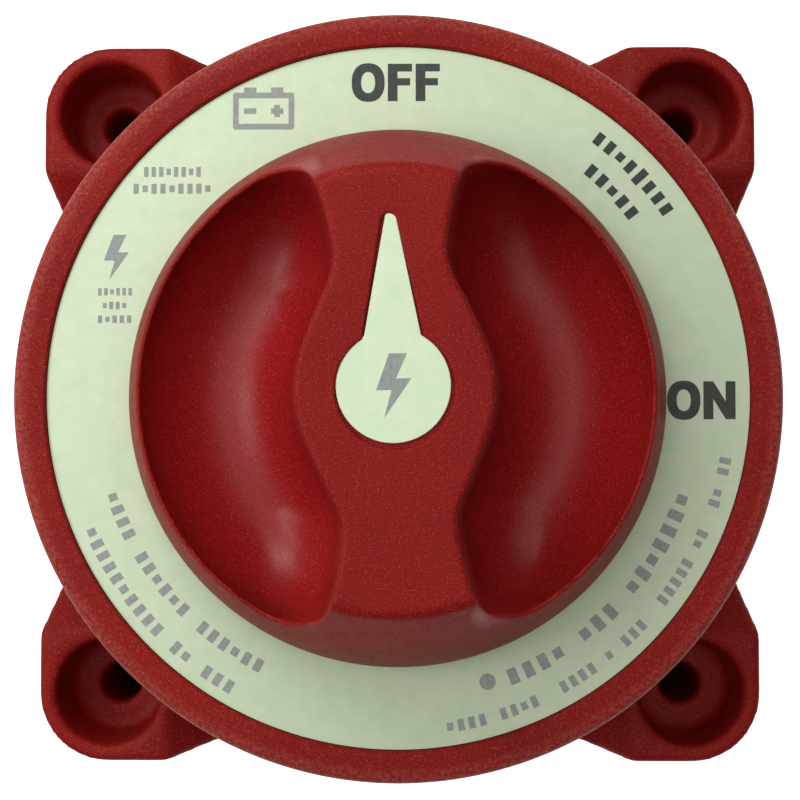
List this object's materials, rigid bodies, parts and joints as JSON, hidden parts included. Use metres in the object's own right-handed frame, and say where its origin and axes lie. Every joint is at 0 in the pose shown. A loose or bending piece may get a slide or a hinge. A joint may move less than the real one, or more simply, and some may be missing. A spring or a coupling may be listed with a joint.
{
  "type": "battery switch",
  "caption": "Marine battery isolating switch with a square case, corner screw posts, a round pale dial and a turning grip-bar knob that goes from off to on",
  "frame": {"origin": "centre of the rear mounting face", "axes": "+Z out of the dial, +Y towards the OFF mark, +X towards the ON mark; the switch lies on its back"},
  "size_m": [0.096, 0.096, 0.075],
  "materials": {
    "red_plastic": "red glass-filled plastic with a fine moulded grain",
    "glow_label": "pale green afterglow film with a satin face",
    "black_plastic": "black moulded plastic",
    "natural_nylon": "uncoloured nylon",
    "tinned_copper": "tin-plated copper",
    "stainless_steel": "turned and stamped stainless steel",
    "seal_rubber": "black rubber"
  },
  "bodies": {
    "case": {"front_case": "red_plastic", "rear_cover": "red_plastic", "bezel": "red_plastic", "dial_label": "glow_label", "contact_base": "black_plastic", "case_gasket": "seal_rubber", "stud_right": "tinned_copper", "stud_seal_right": "seal_rubber", "flat_washer_right": "stainless_steel", "lock_washer_right": "stainless_steel", "stud_nut_right": "stainless_steel", "case_screw_upper_right": "stainless_steel", "case_screw_lower_right": "stainless_steel", "stud_left": "tinned_copper", "stud_seal_left": "seal_rubber", "flat_washer_left": "stainless_steel", "lock_washer_left": "stainless_steel", "stud_nut_left": "stainless_steel", "case_screw_upper_left": "stainless_steel", "case_screw_lower_left": "stainless_steel"},
    "knob_and_rotor": {"knob": "red_plastic", "pointer_label": "glow_label", "knob_screw": "stainless_steel", "knob_washer": "stainless_steel", "drive_shaft": "stainless_steel", "shaft_seal": "seal_rubber", "thrust_washer": "natural_nylon", "rotor": "black_plastic", "contact_spring_upper": "stainless_steel", "contact_spring_lower": "stainless_steel", "detent_spring_right": "stainless_steel", "detent_spring_left": "stainless_steel"},
    "contact_bridge": {"contact_bridge": "tinned_copper"},
    "detent_ball_right": {"detent_ball_right": "stainless_steel"},
    "detent_ball_left": {"detent_ball_left": "stainless_steel"}
  },
  "joints": [
    {"name": "knob_turn", "type": "hinge", "parent": "case", "child": "knob_and_rotor", "pos_m": [0, 0, 0.053], "axis": [0, 0, -1], "range_deg": [0, 90]},
    {"name": "contact_press", "type": "slide", "parent": "knob_and_rotor", "child": "contact_bridge", "axis": [0, 0, 1], "range_m": [0, 0.001], "stiffness_N_per_m": 4000, "springref_m": -0.002, "deforming": ["contact_spring_upper", "contact_spring_lower"]},
    {"name": "detent_press_right", "type": "slide", "parent": "knob_and_rotor", "child": "detent_ball_right", "axis": [-1, 0, 0], "range_m": [0, 0.001], "stiffness_N_per_m": 800, "springref_m": -0.002, "deforming": ["detent_spring_right"]},
    {"name": "detent_press_left", "type": "slide", "parent": "knob_and_rotor", "child": "detent_ball_left", "axis": [1, 0, 0], "range_m": [0, 0.001], "stiffness_N_per_m": 800, "springref_m": -0.002, "deforming": ["detent_spring_left"]}
  ]
}
